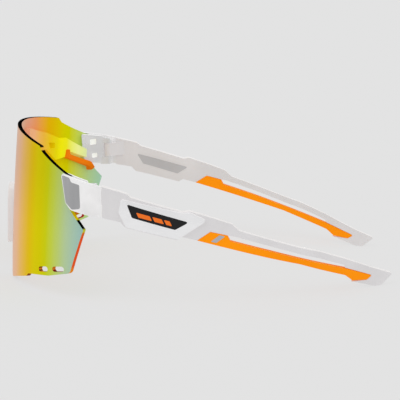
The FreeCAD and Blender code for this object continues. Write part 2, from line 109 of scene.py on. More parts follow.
GRIP = [
    (81.9, 26.75), (87.3, 30.15, 0.6), (94.3, 28.35, 0.5), (95.6, 25.8, 0.3), (112.2, 20.6), (125.0, 16.35),
    (133.8, 13.45), (145.0, 9.75, 0.3), (156.55, 5.25, 0.4), (157.0, 4.75, 0.2), (154.9, 3.35, 0.7),
    (148.4, 4.0, 0.6), (145.1, 6.8, 1.5), (133.8, 10.85), (125.0, 14.1), (112.2, 17.75),
]
GRIP_WINDOW = [(87.4, 26.1, 0.2), (91.1, 28.7, 0.2), (93.4, 28.05, 0.2), (89.7, 25.5, 0.2)]
BEZEL = [
    (49.4, 39.2, 0.8), (50.6, 44.7, 1.0), (75.9, 38.5, 3.0), (78.9, 38.7, 1.5), (86.1, 35.1, 1.0),
    (73.8, 27.5, 1.0), (52.3, 33.0, 1.0),
]
BEZEL_RIM = 0.75            # how near the badge a point of the bezel counts as its inner rim
BEZEL_SINK = 0.45
BADGE = [(52.9, 42.5, 0.4), (78.5, 34.5, 0.5), (72.7, 31.5, 0.4), (55.0, 36.8, 0.6)]
INNER_PLATE = [(52.8, 41.4, 0.4), (78.0, 34.4, 0.4), (72.8, 31.2, 0.4), (55.9, 36.3, 0.6)]
EMBLEM_BARS = [(57.2, 5.6), (63.8, 3.9), (68.6, 2.4)]
EMBLEM_MIDDLE_Z = 38.0
EMBLEM_FALL = 0.28
EMBLEM_HEIGHT = 2.1
EMBLEM_SLANT = 0.5
COVER = [
    (25.3, 53.5, 0.8), (42.52, 49.5, 0.2), (42.52, 36.4, 0.2), (37.4, 37.0, 3.0), (29.2, 38.7, 1.5),
    (27.0, 41.5, 2.0),
]
TAB_SHADE = [
    (25.6, 53.1, 0.5), (28.9, 52.3, 0.5), (29.7, 50.5, 0.6), (33.2, 49.7, 0.6), (33.4, 39.6, 1.2),
    (29.7, 39.0, 1.0), (27.15, 41.6, 1.6),
]
END_WALL = [(26.5, 53.2, 0.6), (36.7, 50.8, 0.4), (36.7, 37.2, 0.4), (29.2, 38.7, 1.5), (27.2, 41.5, 2.0)]
END_ROOF = [(29.4, 50.2, 0.3), (29.4, 52.3, 0.3), (36.2, 50.8, 0.3), (36.2, 50.0, 0.2)]
END_FLOOR = [(32.2, 38.2, 0.3), (32.2, 39.9, 0.3), (36.2, 40.0, 0.3), (36.2, 37.4, 0.3)]
WALL_WINDOWS = [
    [(30.4, 47.3, 0.4), (33.3, 47.3, 0.4), (33.3, 50.0, 0.4), (30.4, 50.0, 0.4)],
    [(31.2, 40.8, 0.4), (33.7, 40.8, 0.4), (33.7, 43.0, 0.4), (31.2, 43.0, 0.4)],
]

# Outlines seen from above: x, y and the corner's radius.
LINK = [
    (64.5, 37.0, 1.78), (68.1, 37.0, 1.78), (68.3, 38.6, 0.5), (70.4, 42.7, 0.8), (71.4, 46.4),
    (68.6, 46.4), (64.5, 39.6, 1.0),
]
END_BLOCK = [
    (64.9, 34.8, 0.2), (67.0, 33.7, 0.3), (68.1, 34.6, 0.3), (69.0, 36.65, 0.2), (65.3, 36.65, 0.2),
]
FORK = [(64.5, 35.2, 0.2), (68.1, 35.2, 0.2), (68.1, 40.6, 1.78), (64.5, 40.6, 1.78)]

# Front outlines: x, z and the corner's radius.
LENS_CROWN = (0.0, 71.4, 246.0)
LENS_SIDE = [
    (45.8, 62.9, 0.8), (47.7, 60.6, 4.0), (61.0, 53.1, 1.0), (62.6, 52.6, 0.4), (63.2, 49.8, 0.6),
    (66.8, 49.8, 1.0), (66.8, 40.2, 1.0), (63.0, 40.2, 0.3), (63.3, 38.7, 0.3), (68.4, 30.7, 1.0),
    (64.3, 11.3, 2.0), (54.8, 8.3), (41.0, 6.3, 0.8), (39.3, 4.8, 1.0),
]
LOBE_RADIUS = 2.5
LOBE_LOW = -0.47
VENTS = [(51.7, 10.5, 5.4), (59.4, 12.1, 5.3)]
VENT_HEIGHT = 2.2
VENT_MARGIN = 0.4           # how far beside a vent its wall's faces may lie
VENT_WALL_LOW = 9.2
VENT_WALL_HIGH = 14.5
LOWER_EDGE_HEIGHT = 8.9     # the lens's lower edge under the first vent, and its rise per millimetre
LOWER_EDGE_RISE = 0.2
VENT_TILT = math.radians(12.0)
VENT_DARK_Z = 9.4           # heights between which the vents' walls turn from black to red
VENT_BRIGHT_Z = 13.0
BRIDGE_TOP = 57.0
BROW_BAR = [
    (8.0, 62.9, 0.3), (12.6, 62.1, 2.0), (31.8, 57.4, 3.0), (43.4, 52.8, 0.6), (45.8, 53.1, 0.5),
    (49.9, 50.5, 0.8), (56.5, 46.2), (57.3, 45.6), (57.3, 41.7), (56.7, 42.0), (49.3, 45.7, 0.5),
    (46.6, 43.7, 0.6), (39.9, 43.2, 1.0), (32.3, 49.2, 1.5), (27.0, 50.2, 3.0), (15.0, 43.0, 3.0),
]
BLOCK_WINDOW = [(33.5, 52.6, 0.4), (38.6, 51.6, 0.4), (38.8, 49.0, 0.4), (35.0, 49.6, 0.4)]
BROW_RAIL = [
    (46.5, 47.2, 0.4), (47.9, 46.9, 0.4), (48.2, 44.6, 0.5), (53.3, 42.1, 3.0), (58.0, 39.8, 0.6),
    (58.9, 39.1, 0.3), (60.3, 36.3, 0.4), (58.8, 34.8, 0.4), (58.3, 37.1, 0.5), (52.9, 40.2, 3.0),
    (45.9, 43.5, 0.4),
]


# ---- curves --------------------------------------------------------------------------------------
def smooth_curve(knots, values):
    """A function that runs smoothly through the values at the knots."""
    count = len(knots)
    steps = np.diff(knots)
    slopes = np.diff(values) / steps
    matrix = np.eye(count)
    right = np.zeros(count)
    for i in range(1, count - 1):
        matrix[i, i - 1:i + 2] = (steps[i - 1], 2 * (steps[i - 1] + steps[i]), steps[i])
        right[i] = 6 * (slopes[i] - slopes[i - 1])
    bend = np.linalg.solve(matrix, right)

    def value(at):
        i = min(max(bisect.bisect(knots, at) - 1, 0), count - 2)
        step = steps[i]
        here = (at - knots[i]) / step
        there = 1 - here
        curve = (there ** 3 - there) * bend[i] + (here ** 3 - here) * bend[i + 1]
        return there * values[i] + here * values[i + 1] + curve * step ** 2 / 6

    return value


plan_x = smooth_curve([row[0] for row in PLAN], [row[1] for row in PLAN])
plan_thickness = smooth_curve([row[0] for row in PLAN], [row[2] for row in PLAN])


def lens_point(x, z, depth):
    """The point of the lens's surface, or of one that lies deeper, seen at x and z from the front."""
    cos, sin = math.cos(LENS_LEAN), math.sin(LENS_LEAN)
    height = z - LENS_PIVOT_Z
    for _ in range(8):
        radius = LENS_RADIUS - depth - height ** 2 / (2 * LENS_PROFILE_RADIUS)
        back = -math.sqrt(max(radius ** 2 - x ** 2, 1.0))
        height = (z - LENS_PIVOT_Z + back * sin) / cos
    return Vector((x, LENS_RADIUS + back * cos + height * sin, z))


def on_lens(x, z, depth):
    """Wraps a plate on the lens's outer face, with its edges square to the face."""
    point = lens_point(x, z, 0)
    across = (lens_point(x + 0.05, z, 0) - point).cross(lens_point(x, z + 0.05, 0) - point).normalized()
    return point - across * depth


def behind_lens(x, z, depth):
    """Wraps a plate on the surface at that depth, seen from the front."""
    return lens_point(x, z, depth)


def on_arm(y, z, depth):
    """Wraps a plate on the temple, whose own thickness changes along it."""
    return Vector((plan_x(y) - depth * plan_thickness(y) / ARM_THICKNESS, y, z))


def on_outside(y, z, depth):
    """Wraps a plate on the temple's outer face."""
    return Vector((plan_x(y) - depth, y, z))


def on_inside(y, z, depth):
    """Wraps a plate on the temple's inner face; depth is counted inwards from that face."""
    return Vector((plan_x(y) - plan_thickness(y) - depth, y, z))


def wall_x(y, z, depth):
    """How far out the lens's outer face, or a surface that lies deeper, is at y and z."""
    lean = (z - LENS_PIVOT_Z) * math.sin(LENS_LEAN)
    radius = LENS_RADIUS - depth
    return math.sqrt(max(radius ** 2 - (LENS_RADIUS - y + lean) ** 2, 1.0))


def on_wall(y, z, depth):
    """Wraps a side outline on the lens's curve."""
    return Vector((wall_x(y, z, depth), y, z))


def on_cover(y, z, depth):
    """Wraps the end piece's cover, which fills the room between the plan's line and the lens."""
    room = max(COVER_WALL, plan_x(y) - wall_x(y, z, -FIT))
    return Vector((plan_x(y) - depth / COVER_WALL * room, y, z))


def upright(low):
    """Wraps an outline seen from above so that the plate stands on that height."""
    return lambda x, y, depth: Vector((x, y, low + depth))


def facing(front):
    """Wraps an outline seen from the front, flat, from that y backwards."""
    return lambda x, z, depth: Vector((x, front + depth, z))


# ---- plates --------------------------------------------------------------------------------------
def rounded(points, error=0.01):
    """The outline as plain points, with an arc at each corner that has a radius."""
    result = []
    count = len(points)
    for i, point in enumerate(points):
        here = Vector(point[:2])
        if len(point) == 2:
            result.append(here)
            continue
        before = (Vector(points[i - 1][:2]) - here).normalized()
        after = (Vector(points[(i + 1) % count][:2]) - here).normalized()
        radius = point[2]
        half = before.angle(after) / 2
        centre = here + (before + after).normalized() * radius / math.sin(half)
        first = here + before * radius / math.tan(half) - centre
        last = here + after * radius / math.tan(half) - centre
        turn = math.pi - 2 * half
        pieces = max(2, math.ceil(turn / (2 * math.acos(1 - error / radius))))
        for k in range(pieces + 1):
            a, b = math.sin(turn * (1 - k / pieces)), math.sin(turn * k / pieces)
            result.append(centre + (first * a + last * b) / math.sin(turn))
    return result


def plate(loops, thickness, rim, rim_steps=3):
    """A flat plate with rounded rims, from depth 0 to its thickness. The first loop is the outline."""
    bm = bmesh.new()
    edges = []
    for loop in loops:
        verts = [bm.verts.new((point[0], point[1], 0)) for point in loop]
        edges += [bm.edges.new((verts[i - 1], verts[i])) for i in range(len(verts))]
    bmesh.ops.triangle_fill(bm, use_beauty=True, use_dissolve=False, edges=edges, normal=(0, 0, -1))
    grown = bmesh.ops.extrude_face_region(bm, geom=bm.faces[:])["geom"]
    top = [item for item in grown if isinstance(item, bmesh.types.BMVert)]
    bmesh.ops.translate(bm, verts=top, vec=(0, 0, thickness))
    bmesh.ops.recalc_face_normals(bm, faces=bm.faces[:])
    if rim > 0:
        bm.normal_update()
        rims = []
        for edge in bm.edges:
            if len(edge.link_faces) == 2:
                flat = [abs(face.normal.z) > 0.5 for face in edge.link_faces]
                if flat[0] != flat[1]:
                    rims.append(edge)
        bmesh.ops.bevel(bm, geom=rims, offset=rim, segments=rim_steps, profile=0.5, affect="EDGES",
                        clamp_overlap=True)
    bmesh.ops.triangulate(bm, faces=[face for face in bm.faces if len(face.verts) > 4])
    return bm


def sliced(bm, step=SLICE):
    """Cuts the plate across its first direction, so that it can bend."""
    low = min(vert.co.x for vert in bm.verts)
    high = max(vert.co.x for vert in bm.verts)
    for k in range(1, int((high - low) / step) + 1):
        everything = bm.verts[:] + bm.edges[:] + bm.faces[:]
        place = (low + k * step, 0, 0)
        bmesh.ops.bisect_plane(bm, geom=everything, dist=1e-5, plane_co=place, plane_no=(1, 0, 0))
    return bm


def mark_sides(bm, inner=2):
    """Gives a flat plate's edges the second material and its inner face the third, or another."""
    bm.normal_update()
    for face in bm.faces:
        if abs(face.normal.z) < 0.9:
            face.material_index = 1
        elif face.normal.z > 0:
            face.material_index = inner
    return bm


def wrapped(bm, wrap, start=0.0):
    """Moves every point of the plate onto a curved face, start deeper than the face."""
    for vert in bm.verts:
        vert.co = wrap(vert.co.x, vert.co.y, vert.co.z + start)
    return bm


def joined(*parts):
    """Several meshes as one."""
    whole = bmesh.new()
    for part in parts:
        mesh = bpy.data.meshes.new("joined")
        part.to_mesh(mesh)
        whole.from_mesh(mesh)
        bpy.data.meshes.remove(mesh)
    return whole


def piece(name, bm, materials, side=1, smooth=40):
    """The mesh as a piece in the frame's metres; side -1 makes the mirror image."""
    bm = bm.copy()
    for vert in bm.verts:
        vert.co = Vector((vert.co.x * side, vert.co.y - FRONT_TO_MIDDLE, vert.co.z)) * MM
    bmesh.ops.recalc_face_normals(bm, faces=bm.faces[:])
    mesh = bpy.data.meshes.new(name)
    bm.to_mesh(mesh)
    bm.free()
    for material in materials:
        mesh.materials.append(material)
    mesh.shade_smooth()
    mesh.set_sharp_from_angle(angle=math.radians(smooth))
    obj = bpy.data.objects.new(name, mesh)
    bpy.context.scene.collection.objects.link(obj)
    weigh = obj.modifiers.new("weigh", "WEIGHTED_NORMAL")
    weigh.keep_sharp = True
    return obj


# ---- materials -----------------------------------------------------------------------------------
def srgb(red, green, blue):
    """A colour given as it looks on screen, 0 to 255, as the linear colour that shaders take."""
    def linear(value):
        value = value / 255
        return value / 12.92 if value <= 0.04045 else ((value + 0.055) / 1.055) ** 2.4
    return (linear(red), linear(green), linear(blue), 1.0)


class Nodes:
    """A material's node tree, with short ways to add nodes."""

    def __init__(self, name):
        self.material = bpy.data.materials.new(name)
        self.material.use_nodes = True
        self.tree = self.material.node_tree
        self.shader = self.tree.nodes["Principled BSDF"]

    def add(self, kind, inputs=(), **settings):
        node = self.tree.nodes.new("ShaderNode" + kind)
        for key, value in settings.items():
            setattr(node, key, value)
        for key, value in dict(inputs).items():
            if isinstance(value, bpy.types.NodeSocket):
                self.tree.links.new(value, node.inputs[key])
            else:
                node.inputs[key].default_value = value
        return node

    def set(self, **values):
        """Sets the shader's own sockets; an underscore stands for a space."""
        for key, value in values.items():
            socket = self.shader.inputs[key.replace("_", " ")]
            if isinstance(value, bpy.types.NodeSocket):
                self.tree.links.new(value, socket)
            else:
                socket.default_value = value

    def place(self):
        return self.add("TexCoord").outputs["Object"]

    def math(self, operation, a, b=0.0):
        return self.add("Math", {0: a, 1: b}, operation=operation).outputs[0]

    def noise(self, scale, detail=3.0, roughness=0.5, stretch=None):
        where = self.place()
        if stretch:
            where = self.add("Mapping", {"Vector": where, "Scale": stretch}).outputs[0]
        inputs = {"Vector": where, "Scale": scale, "Detail": detail, "Roughness": roughness}
        return self.add("TexNoise", inputs).outputs[0]

    def height(self):
        return self.add("SeparateXYZ", {0: self.place()}).outputs[2]

    def between(self, value, start, end, low, high):
        """Runs from low to high while the value runs from start to end."""
        return self.add("MapRange", {0: value, 1: start, 2: end, 3: low, 4: high}).outputs[0]

    def scaled(self, colour, factor):
        return self.add("VectorMath", {0: colour, "Scale": factor}, operation="SCALE").outputs[0]

    def ramp(self, factor, stops):
        node = self.add("ValToRGB", {"Fac": factor})
        ramp = node.color_ramp
        while len(ramp.elements) < len(stops):
            ramp.elements.new(0.5)
        for element, (place, colour) in zip(ramp.elements, stops):
            element.position = place
            element.color = colour
        return node.outputs["Color"]

    def spread(self, factor, low, high):
        """Turns a factor of 0 to 1 into a number from low to high."""
        return self.add("MapRange", {0: factor, 3: low, 4: high}).outputs[0]

    def bump(self, height, distance, strength=1.0):
        node = self.add("Bump", {"Height": height, "Distance": distance, "Strength": strength})
        self.set(Normal=node.outputs[0])


# Colours of the mirror coat, by the angle round the lens's axis in degrees: outer and inner face.
COAT_OUTSIDE = [
    (0, (212, 190, 175)), (12, (216, 178, 155)), (18, (220, 175, 135)), (22, (220, 175, 98)),
    (25, (219, 176, 70)), (28, (216, 178, 30)), (30, (214, 182, 3)), (33, (207, 192, 0)),
    (36, (202, 192, 0)), (39, (192, 195, 15)), (42, (185, 198, 68)), (45, (178, 196, 108)),
    (48, (170, 192, 147)), (51, (160, 187, 165)), (56, (140, 178, 178)),
]
COAT_INSIDE = [
    (0, (208, 170, 150)), (12, (220, 155, 125)), (18, (225, 150, 93)), (21, (226, 158, 72)),
    (24, (226, 165, 45)), (27, (220, 172, 0)), (30, (217, 179, 0)), (33, (213, 189, 0)),
    (36, (207, 200, 0)), (39, (201, 202, 0)), (42, (194, 205, 66)), (46, (180, 203, 110)),
    (50, (165, 198, 145)), (56, (148, 193, 178)),
]
# Painted reflection: colours that the clear brow bar takes from the coat behind it.
BAR_COAT_REFLECTION = [
    (0, (222, 182, 160)), (8, (235, 168, 128)), (12, (236, 172, 122)), (17, (236, 180, 84)),
    (21, (234, 182, 56)), (26, (232, 198, 5)), (30, (228, 214, 0)), (33, (240, 234, 0)),
    (36, (234, 231, 25)), (39, (234, 239, 112)), (42, (236, 241, 150)), (44, (226, 236, 150)),
    (50, (205, 222, 190)), (56, (200, 208, 200)),
]
COAT_LAST = 56.0
COAT_SHADE_LOW = 28.0       # heights between which the coat's outer face darkens
COAT_SHADE_HIGH = 52.0


def coat_colour(nodes, tones, gain=1.0):
    """The tone for the angle round the lens's axis, with a slight waver."""
    centre = (0, (LENS_RADIUS - FRONT_TO_MIDDLE) * MM, LENS_PIVOT_Z * MM)
    inputs = {"Vector": nodes.place(), "Location": centre, "Rotation": (-LENS_LEAN, 0, 0)}
    local = nodes.add("Mapping", inputs, vector_type="TEXTURE").outputs[0]
    split = nodes.add("SeparateXYZ", {0: local})
    sideways = nodes.math("ABSOLUTE", split.outputs[0])
    forward = nodes.math("MULTIPLY", split.outputs[1], -1.0)
    angle = nodes.math("ARCTAN2", sideways, forward)
    waver = nodes.spread(nodes.noise(14.0, 1.0), -0.012, 0.012)
    share = nodes.math("DIVIDE", nodes.math("ADD", angle, waver), math.radians(COAT_LAST))
    stops = []
    for degrees, tone in tones:
        linear = [min(value * gain, 1.0) for value in srgb(*tone)[:3]] + [1.0]
        stops.append((degrees / COAT_LAST, linear))
    return nodes.ramp(share, stops)


def mirror_coat(name, tones, gain, top=1.0):
    """The lens's iridescent coat: its colour turns with the angle round the lens's axis, and it is
    a little darker towards the top, where its share is given."""
    nodes = Nodes(name)
    shade = nodes.between(nodes.height(), COAT_SHADE_LOW * MM, COAT_SHADE_HIGH * MM, 1.0, top)
    colour = nodes.scaled(coat_colour(nodes, tones, gain), shade)
    nodes.set(Base_Color=colour, Metallic=0.15, Specular_IOR_Level=0.0)
    # Painted glow: an emission of the coat's own colour that lifts its shading.
    nodes.set(Emission_Color=colour, Emission_Strength=0.12)
    nodes.set(Roughness=nodes.spread(nodes.noise(120.0, 3.0), 0.30, 0.38))
    nodes.bump(nodes.noise(40.0, 2.0), 0.00002, 0.1)
    return nodes.material


def coat_reflecting_plastic(name, tones):
    """Clear plastic right behind the coat, with a painted reflection that shows the coat's colours
    brightly, and a painted glow.
    """
    nodes = Nodes(name)
    colour = coat_colour(nodes, tones)
    nodes.set(Base_Color=colour, Specular_IOR_Level=0.03)
    # Painted glow: an emission that lifts the bar's shading.
    nodes.set(Emission_Color=colour, Emission_Strength=0.16)
    nodes.set(Roughness=nodes.spread(nodes.noise(90.0, 3.0), 0.18, 0.28))
    nodes.bump(nodes.noise(300.0, 2.0), 0.00001, 0.2)
    return nodes.material


# The lens's cut edge by height in millimetres: painted light refracted through the lens, orange low down
# and yellow at the tabs, a painted glint at the kink, and black elsewhere.
EDGE_BLACK = (3, 3, 3)
EDGE = [
    (0.0, (190, 125, 55)), (6.0, (150, 80, 40)), (9.0, (238, 160, 60)), (12.0, (246, 150, 40)),
    (14.5, (238, 92, 42)), (27.0, (240, 90, 40)), (29.0, (225, 110, 40)), (29.8, (205, 205, 60)),
    (30.7, (200, 205, 60)), (31.1, EDGE_BLACK), (34.2, EDGE_BLACK), (34.6, (238, 220, 5)),
    (36.6, (240, 200, 10)), (37.4, (238, 230, 10)), (39.4, (238, 230, 10)), (39.9, EDGE_BLACK),
    (61.0, EDGE_BLACK), (61.15, (236, 180, 60)), (62.1, (236, 180, 60)), (62.25, EDGE_BLACK),
    (70.0, EDGE_BLACK),
]
EDGE_TOP = 70.0


def lens_edge():
    nodes = Nodes("lens_edge")
    share = nodes.math("DIVIDE", nodes.height(), EDGE_TOP * MM)
    colour = nodes.ramp(share, [(at / EDGE_TOP, srgb(*tone)) for at, tone in EDGE])
    nodes.set(Base_Color=colour, Specular_IOR_Level=0.0)
    nodes.set(Roughness=nodes.spread(nodes.noise(400.0), 0.45, 0.6))
    nodes.bump(nodes.noise(500.0, 3.0), 0.00002, 0.2)
    return nodes.material


def vent_edge():
    """The walls of the vents: deep red, black towards the bottom."""
    nodes = Nodes("vent_edge")
    share = nodes.between(nodes.height(), VENT_DARK_Z * MM, VENT_BRIGHT_Z * MM, 0.0, 1.0)
    tones = [(0.0, (12, 4, 4)), (0.3, (60, 6, 5)), (0.6, (190, 30, 16)), (1.0, (215, 60, 30))]
    colour = nodes.ramp(share, [(at, srgb(*tone)) for at, tone in tones])
    nodes.set(Base_Color=colour, Specular_IOR_Level=0.1)
    nodes.set(Roughness=nodes.spread(nodes.noise(400.0), 0.4, 0.55))
    return nodes.material


def clear_plastic(name, tone, clear, rough, glow=0.12, clouds=0.96, streaks=None):
    """Milky see-through plastic with faint clouds or streaks and a satin face. Glow is a painted glow: an
    emission that stands in for the light it passes on from all around."""
    nodes = Nodes(name)
    low = [value * clouds for value in srgb(*tone)[:3]] + [1.0]
    colour = nodes.ramp(nodes.noise(55.0, 3.0, 0.5, streaks), [(0.38, low), (0.62, srgb(*tone))])
    nodes.set(Base_Color=colour, Transmission_Weight=clear, IOR=1.40)
    # Painted glow: an emission that lifts the plastic's shading.
    nodes.set(Emission_Color=colour, Emission_Strength=glow)
    nodes.set(Roughness=nodes.spread(nodes.noise(80.0, 3.0), rough - 0.04, rough + 0.04))
    nodes.bump(nodes.noise(60.0, 2.0), 0.00003, 0.1)
    return nodes.material


def soft_rubber(name, tone, deep, painted_shade=None):
    """Matte moulded rubber with a fine grain and slightly worn, lighter patches. It can take a painted
    shade that darkens it below a height: from there, down to there, and how far."""
    nodes = Nodes(name)
    patches = nodes.noise(45.0, 4.0, 0.6)
    colour = nodes.ramp(patches, [(0.3, srgb(*deep)), (0.65, srgb(*tone))])
    if painted_shade:
        start, end, share = painted_shade
        colour = nodes.scaled(colour, nodes.between(nodes.height(), start, end, 1.0, share))
    nodes.set(Base_Color=colour, Specular_IOR_Level=0.06)
    # Painted glow: an emission that lifts the rubber's shading.
    nodes.set(Emission_Color=colour, Emission_Strength=0.12)
    nodes.set(Roughness=nodes.spread(nodes.noise(700.0, 3.0), 0.42, 0.6))
    grain = nodes.add("TexVoronoi", {"Vector": nodes.place(), "Scale": 2600.0}).outputs[0]
    nodes.bump(grain, 0.00004, 0.35)
    return nodes.material


def hard_plastic(name, tone, deep, low_rough, high_rough, grain=0.00001):
    """Solid moulded plastic."""
    nodes = Nodes(name)
    colour = nodes.ramp(nodes.noise(80.0, 4.0), [(0.3, srgb(*deep)), (0.7, srgb(*tone))])
    nodes.set(Base_Color=colour, Specular_IOR_Level=0.25)
    nodes.set(Roughness=nodes.spread(nodes.noise(600.0, 3.0), low_rough, high_rough))
    nodes.bump(nodes.noise(2200.0, 2.0), grain, 0.4)
    return nodes.material


def turned_steel():
    """Bright steel with fine turning marks round the upright axis."""
    nodes = Nodes("turned_steel")
    marks = nodes.noise(900.0, 2.0, 0.5, (0.15, 0.15, 4.0))
    colour = nodes.ramp(marks, [(0.3, srgb(205, 205, 207)), (0.7, srgb(238, 238, 240))])
    nodes.set(Base_Color=colour, Metallic=0.8, Roughness=nodes.spread(marks, 0.22, 0.42))
    nodes.bump(marks, 0.00001, 0.3)
    return nodes.material


COAT_OUT = mirror_coat("coat_outside", COAT_OUTSIDE, gain=1.09, top=0.90)
COAT_IN = mirror_coat("coat_inside", COAT_INSIDE, gain=1.08)
LENS_EDGE = lens_edge()
VENT_EDGE = vent_edge()
BAR = coat_reflecting_plastic("bar_coat_reflection", BAR_COAT_REFLECTION)
CLEAR = clear_plastic("clear_frame", (220, 221, 222), clear=0.25, rough=0.26, clouds=0.92)
CLEAR_COVER = clear_plastic("clear_cover", (232, 231, 231), 0.15, rough=0.16, glow=0.22, clouds=0.86)
CLEAR_ARM = clear_plastic("clear_arm", (215, 213, 214), 0.06, rough=0.34, glow=0.16, clouds=0.94)
# Arm edge: a lighter copy of the arm's plastic for its rim faces, a painted highlight along its edges.
ARM_EDGE_HIGHLIGHT = clear_plastic("arm_edge_highlight", (228, 225, 224), 0.04, rough=0.34, glow=0.16, clouds=0.95)
# Clear edge: a lighter copy of the clear plastic for the rim faces of the end walls and bezels, a painted
# highlight along their edges.
CLEAR_EDGE_HIGHLIGHT = clear_plastic("clear_edge_highlight", (236, 234, 234), clear=0.04, rough=0.30, glow=0.22)
CLEAR_BEZEL = clear_plastic("clear_bezel", (226, 226, 227), clear=0.15, rough=0.24, glow=0.20)
CLEAR_CLIP = clear_plastic("clear_clip", (220, 218, 218), clear=0.25, rough=0.24, glow=0.20)
SMOKE = clear_plastic("smoke_tab", (186, 186, 188), clear=0.0, rough=0.35, glow=0.04, clouds=0.70,
                      streaks=(1.0, 1.6, 0.2))
WINDOW_PANE = clear_plastic("window_pane", (252, 255, 250), clear=0.10, rough=0.20)
PAD_RUBBER = clear_plastic("pad_rubber", (232, 230, 226), clear=0.35, rough=0.5)
ORANGE = soft_rubber("orange_rubber", (255, 150, 8), (250, 142, 6))
# The rail's painted shade: darker below 40 mm, down to 0.42 of its colour at 30 mm.
RAIL_ORANGE = soft_rubber("orange_rail", (246, 130, 0), (238, 120, 0), painted_shade=(40 * MM, 30 * MM, 0.42))
ORANGE_INLAY = hard_plastic("orange_inlay", (252, 122, 28), (244, 112, 22), 0.3, 0.45)
BLACK = hard_plastic("black_badge", (22, 22, 23), (16, 16, 17), 0.4, 0.55)
GREY = hard_plastic("grey_plate", (198, 198, 201), (188, 188, 191), 0.4, 0.55)
WINDOW_GREY = hard_plastic("window_grey", (190, 190, 192), (176, 176, 180), 0.15, 0.3, grain=0.000005)
STEEL = turned_steel()


# ---- pieces --------------------------------------------------------------------------------------
def both_halves(left_half):
    """A front outline from its left half, which ends at the middle."""
    right_half = [(-point[0],) + tuple(point[1:]) for point in reversed(left_half)]
    return list(left_half) + right_half


def notch_corners(offset, low_z, foot_radius):
    """The left half of the nose notch, or of the same outline moved out by an offset."""
    radius = NOTCH_RADIUS + offset
    top = NOTCH_TOP + offset
    top_x = radius * math.tan((math.pi / 2 - NOTCH_SPLAY) / 2)
    foot_x = top_x + (top - low_z) * math.tan(NOTCH_SPLAY)
    return [(foot_x, low_z, foot_radius), (top_x, top, radius)]


def vent(x, z, length, side):
    """One slot with round ends, tilted like the lens's lower edge."""
    radius = VENT_HEIGHT / 2
    half = length / 2
    corners = [(-half, -radius, radius * 0.999), (half, -radius, radius * 0.999),
               (half, radius, radius * 0.999), (-half, radius, radius * 0.999)]
    cos, sin = math.cos(VENT_TILT), math.sin(VENT_TILT)
    return [Vector((side * (x + a * cos - b * sin), z + a * sin + b * cos)) for a, b in rounded(corners)]


def circle(x, y, radius, count=24):
    """A round loop."""
    turns = [2 * math.pi * k / count for k in range(count)]
    return [Vector((x + radius * math.cos(turn), y + radius * math.sin(turn))) for turn in turns]


def is_vent_wall(point):
    """Whether a point of the lens's cut edge is in the red wall of a vent, above the lens's own edge."""
    x = abs(point.x)
    beside = min(abs(x - vent_x) - length / 2 for vent_x, _, length in VENTS)
    own_edge = LOWER_EDGE_HEIGHT + LOWER_EDGE_RISE * (x - VENTS[0][0])
    return beside < VENT_MARGIN and max(VENT_WALL_LOW, own_edge) < point.z < VENT_WALL_HIGH


def make_lens():
    """The one-piece shield, with its vents and the notch for the nose."""
    half = LENS_SIDE + notch_corners(0, LOBE_LOW, LOBE_RADIUS)
    outline = rounded(both_halves(half) + [LENS_CROWN])
    slots = [vent(*row, side) for row in VENTS for side in (1, -1)]
    bm = sliced(plate([outline] + slots, LENS_THICKNESS, rim=0.12, rim_steps=2))
    mark_sides(bm)
    wrapped(bm, on_lens)
    materials = [COAT_OUT, LENS_EDGE, COAT_IN, VENT_EDGE]
    for face in bm.faces:
        cut = face.material_index == materials.index(LENS_EDGE)
        if cut and is_vent_wall(face.calc_center_median()):
            face.material_index = materials.index(VENT_EDGE)
    lens = piece("shield_lens", bm, materials)
    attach(lens, "front")
    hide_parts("lens")


def make_sided(name, bm, materials, body, node):
    """The left piece and its mirror image, each riding on its own side's body."""
    for side, word in ((1, "left"), (-1, "right")):
        obj = piece(name + "_" + word, bm, materials, side)
        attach(obj, body if body == "front" else word + "_temple")
        if node:
            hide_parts(node + "_" + word)
    bm.free()


def make_brow_bar():
    """The clear bar behind the lens, with its two blocks and the bridge."""
    half = [(BROW_BAR[0][0], BRIDGE_TOP, 0.3)] + BROW_BAR
    outline = rounded(both_halves(half))
    windows = [[Vector((side * x, z)) for x, z in rounded(BLOCK_WINDOW)] for side in (1, -1)]
    bm = sliced(plate([outline] + windows, BROW_DEPTH, rim=0.3))
    bar = piece("brow_bar", wrapped(bm, behind_lens, LENS_THICKNESS + FIT), [BAR])
    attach(bar, "front")
    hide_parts("front_frame")


def make_end_frames():
    """Behind each end cover: a wall with two windows, the hinge block and the fork's leaves."""
    behind = LENS_THICKNESS + FIT
    loops = [rounded(END_WALL)] + [rounded(window) for window in WALL_WINDOWS]
    wall = wrapped(mark_sides(sliced(plate(loops, WALL, rim=0.35)), inner=0), on_wall, start=behind)
    fills = []
    for line in (END_ROOF, END_FLOOR):
        fill = sliced(plate([rounded(line)], behind + 0.1, rim=0.1))
        fills.append(wrapped(fill, on_wall, start=-0.05))
    low, thickness = HINGE_BLOCK
    block = wrapped(plate([rounded(END_BLOCK)], thickness, rim=0.2), upright(low))
    bore = circle(HINGE_X, HINGE_Y, BORE_RADIUS)
    leaves = []
    for low, thickness in (LOW_LEAF, HIGH_LEAF):
        leaves.append(wrapped(plate([rounded(FORK), bore], thickness, rim=0.25), upright(low)))
    frame_end = joined(wall, *fills, block, *leaves)
    # The wall's side faces take the painted edge highlight.
    make_sided("end_frame", frame_end, [CLEAR, CLEAR_EDGE_HIGHLIGHT], "front", None)
    panes = []
    for window in WALL_WINDOWS:
        pane = plate([rounded(window)], thickness=0.5, rim=0.05, rim_steps=1)
        panes.append(wrapped(pane, on_wall, start=behind + 0.3))
    make_sided("wall_pane", joined(*panes), [WINDOW_PANE], "front", None)


